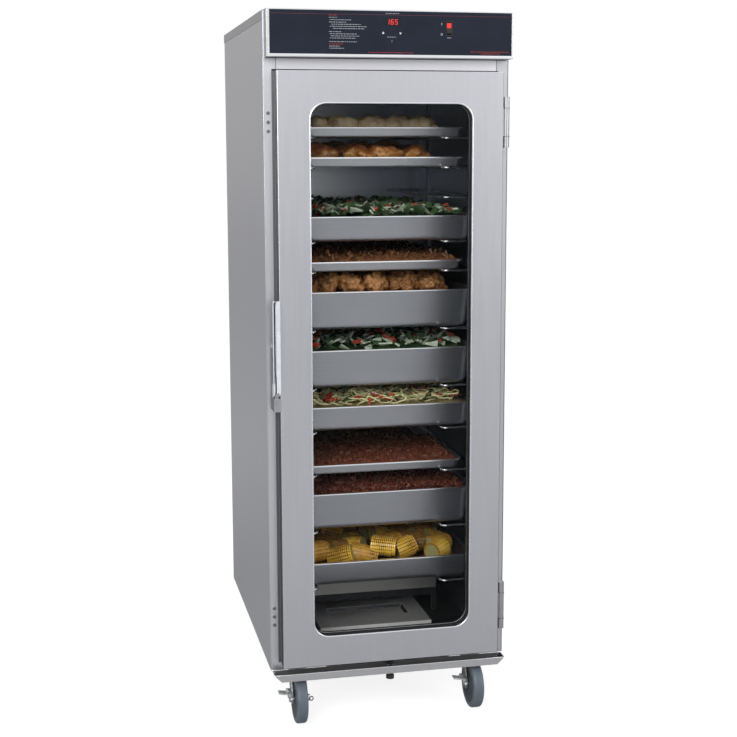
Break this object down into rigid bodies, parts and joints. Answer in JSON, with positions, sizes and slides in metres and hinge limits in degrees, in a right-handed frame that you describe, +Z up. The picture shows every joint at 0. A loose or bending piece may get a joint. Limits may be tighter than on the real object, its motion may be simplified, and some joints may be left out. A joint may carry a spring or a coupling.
{
  "type": "heated holding cabinet",
  "caption": "Tall insulated heated cabinet on casters with a glazed door, a control hood, wire slides, food pans and a drip trough.",
  "frame": {"origin": "centre of the footprint, on the floor that the wheels stand on", "axes": "+Z up, -Y to the door side, +X to the hinge side"},
  "size_m": [0.6234, 0.8562, 1.812],
  "materials": {
    "outer_steel": "vertical brushed grain, satin",
    "top_steel": "brushed along the depth",
    "back_steel": "plain mill finish",
    "door_steel": "fine vertical brushed grain",
    "liner_steel": "dull, seen in shade",
    "bezel_steel": "bright polished edge",
    "overlay_black": "smooth blue-black panel",
    "lens_tint": "dark tinted lens",
    "board_green": "circuit board",
    "switch_black": "moulded",
    "rocker_red": "lit red lens in a black rocker",
    "key_black": "printed key",
    "clear_glass": "clear toughened glass",
    "gasket_black": "matte",
    "seal_grey": "soft extrusion",
    "hinge_chrome": "polished",
    "latch_chrome": "polished",
    "screw_steel": "bright",
    "rack_steel": "bright stamped strip",
    "wire_steel": "bright drawn wire",
    "pan_aluminium": "rolled and drawn, lightly scuffed",
    "pan_steel": "drawn, satin",
    "food_brown": "cooked food, each load its own kind",
    "heater_steel": "dull",
    "element_steel": "heat tinted",
    "motor_black": "satin",
    "fan_steel": "stamped",
    "trough_steel": "fine grain along the width",
    "knob_black": "moulded",
    "caster_zinc": "zinc plated, dull",
    "tyre_grey": "blue-grey elastomer",
    "insulation_wool": "mineral wool batt",
    "inlet_black": "moulded"
  },
  "bodies": {
    "cabinet": {"side_panel_left": "outer_steel", "side_panel_right": "outer_steel", "back_panel": "back_steel", "top_cover": "top_steel", "base_pan": "back_steel", "front_header": "outer_steel", "liner_left": "liner_steel", "liner_right": "liner_steel", "liner_back": "liner_steel", "liner_top": "liner_steel", "liner_floor": "liner_steel", "insulation": "insulation_wool", "hood_bezel": "bezel_steel", "control_overlay": "overlay_black", "display_window": "lens_tint", "controller_board": "board_green", "rocker_housing": "switch_black", "hinge_body_leaves": "hinge_chrome", "hinge_pins": "hinge_chrome", "strike_plate": "latch_chrome", "cabinet_screws": "screw_steel", "rack_uprights": "rack_steel", "wire_slides": "wire_steel", "sheet_pans": "pan_aluminium", "shallow_food_pans": "pan_steel", "deep_food_pans": "pan_steel", "pan_food": "food_brown", "heater_box": "heater_steel", "heating_element": "element_steel", "fan_motor": "motor_black", "power_inlet": "inlet_black", "caster_plates": "caster_zinc"},
    "door": {"door_outer_frame": "door_steel", "door_inner_frame": "door_steel", "glass_panes": "clear_glass", "window_gasket": "gasket_black", "door_seal": "seal_grey", "hinge_door_leaves": "hinge_chrome", "latch_housing": "latch_chrome", "latch_pin": "latch_chrome"},
    "lever": {"latch_lever": "latch_chrome"},
    "rocker": {"power_rocker": "rocker_red"},
    "key_up": {"up_key": "key_black"},
    "key_down": {"down_key": "key_black"},
    "key_set": {"set_key": "key_black"},
    "blower": {"fan_wheel": "fan_steel"},
    "water_tray": {"water_pan": "heater_steel", "water_pan_cover": "heater_steel"},
    "trough": {"drip_trough": "trough_steel"},
    "thumbscrew": {"trough_screw": "knob_black"},
    "swivel_front_left": {"caster_fork_front_left": "caster_zinc"},
    "wheel_front_left": {"caster_wheel_front_left": "tyre_grey"},
    "pedal_front_left": {"brake_pedal_front_left": "caster_zinc"},
    "swivel_front_right": {"caster_fork_front_right": "caster_zinc"},
    "wheel_front_right": {"caster_wheel_front_right": "tyre_grey"},
    "pedal_front_right": {"brake_pedal_front_right": "caster_zinc"},
    "swivel_rear_left": {"caster_fork_rear_left": "caster_zinc"},
    "wheel_rear_left": {"caster_wheel_rear_left": "tyre_grey"},
    "swivel_rear_right": {"caster_fork_rear_right": "caster_zinc"},
    "wheel_rear_right": {"caster_wheel_rear_right": "tyre_grey"}
  },
  "joints": [
    {"name": "door_swing", "type": "hinge", "parent": "cabinet", "child": "door", "pos_m": [0.294, -0.4076, 0.91815], "axis": [0, 0, 1], "range_deg": [0, 180]},
    {"name": "lever_pull", "type": "hinge", "parent": "door", "child": "lever", "pos_m": [-0.2929, -0.4121, 0.89], "axis": [1, 0, 0], "range_deg": [0, 35], "stiffness_Nm_per_rad": 0.5, "springref_deg": -17.19},
    {"name": "rocker_tilt", "type": "hinge", "parent": "cabinet", "child": "rocker", "pos_m": [0.143, -0.4114, 1.77], "axis": [1, 0, 0], "range_deg": [0, 20]},
    {"name": "up_press", "type": "slide", "parent": "cabinet", "child": "key_up", "axis": [0, 1, 0], "range_m": [0, 0.0008], "stiffness_N_per_m": 600},
    {"name": "down_press", "type": "slide", "parent": "cabinet", "child": "key_down", "axis": [0, 1, 0], "range_m": [0, 0.0008], "stiffness_N_per_m": 600},
    {"name": "set_press", "type": "slide", "parent": "cabinet", "child": "key_set", "axis": [0, 1, 0], "range_m": [0, 0.0008], "stiffness_N_per_m": 600},
    {"name": "blower_spin", "type": "hinge", "parent": "cabinet", "child": "blower", "pos_m": [0, 0.2069, 0.214], "axis": [0, 0, 1], "continuous": true},
    {"name": "water_tray_slide", "type": "slide", "parent": "cabinet", "child": "water_tray", "axis": [0, -1, 0], "range_m": [0, 0.12]},
    {"name": "trough_slide", "type": "slide", "parent": "cabinet", "child": "trough", "axis": [0, -1, 0], "range_m": [0, 0.022]},
    {"name": "thumbscrew_turn", "type": "hinge", "parent": "trough", "child": "thumbscrew", "pos_m": [0, -0.3881, 0.12], "axis": [0, 0, 1], "continuous": true},
    {"name": "swivel_front_left_turn", "type": "hinge", "parent": "cabinet", "child": "swivel_front_left", "pos_m": [-0.235, -0.3181, 0.14], "axis": [0, 0, 1], "continuous": true},
    {"name": "wheel_front_left_roll", "type": "hinge", "parent": "swivel_front_left", "child": "wheel_front_left", "pos_m": [-0.235, -0.3561, 0.0635], "axis": [1, 0, 0], "continuous": true},
    {"name": "pedal_front_left_press", "type": "hinge", "parent": "swivel_front_left", "child": "pedal_front_left", "pos_m": [-0.2635, -0.3561, 0.0795], "axis": [0, -1, 0], "range_deg": [0, 18]},
    {"name": "swivel_front_right_turn", "type": "hinge", "parent": "cabinet", "child": "swivel_front_right", "pos_m": [0.235, -0.3181, 0.14], "axis": [0, 0, 1], "continuous": true},
    {"name": "wheel_front_right_roll", "type": "hinge", "parent": "swivel_front_right", "child": "wheel_front_right", "pos_m": [0.235, -0.3561, 0.0635], "axis": [1, 0, 0], "continuous": true},
    {"name": "pedal_front_right_press", "type": "hinge", "parent": "swivel_front_right", "child": "pedal_front_right", "pos_m": [0.2065, -0.3561, 0.0795], "axis": [0, -1, 0], "range_deg": [0, 18]},
    {"name": "swivel_rear_left_turn", "type": "hinge", "parent": "cabinet", "child": "swivel_rear_left", "pos_m": [-0.235, 0.3669, 0.14], "axis": [0, 0, 1], "continuous": true},
    {"name": "wheel_rear_left_roll", "type": "hinge", "parent": "swivel_rear_left", "child": "wheel_rear_left", "pos_m": [-0.235, 0.3289, 0.0635], "axis": [1, 0, 0], "continuous": true},
    {"name": "swivel_rear_right_turn", "type": "hinge", "parent": "cabinet", "child": "swivel_rear_right", "pos_m": [0.235, 0.3669, 0.14], "axis": [0, 0, 1], "continuous": true},
    {"name": "wheel_rear_right_roll", "type": "hinge", "parent": "swivel_rear_right", "child": "wheel_rear_right", "pos_m": [0.235, 0.3289, 0.0635], "axis": [1, 0, 0], "continuous": true}
  ]
}
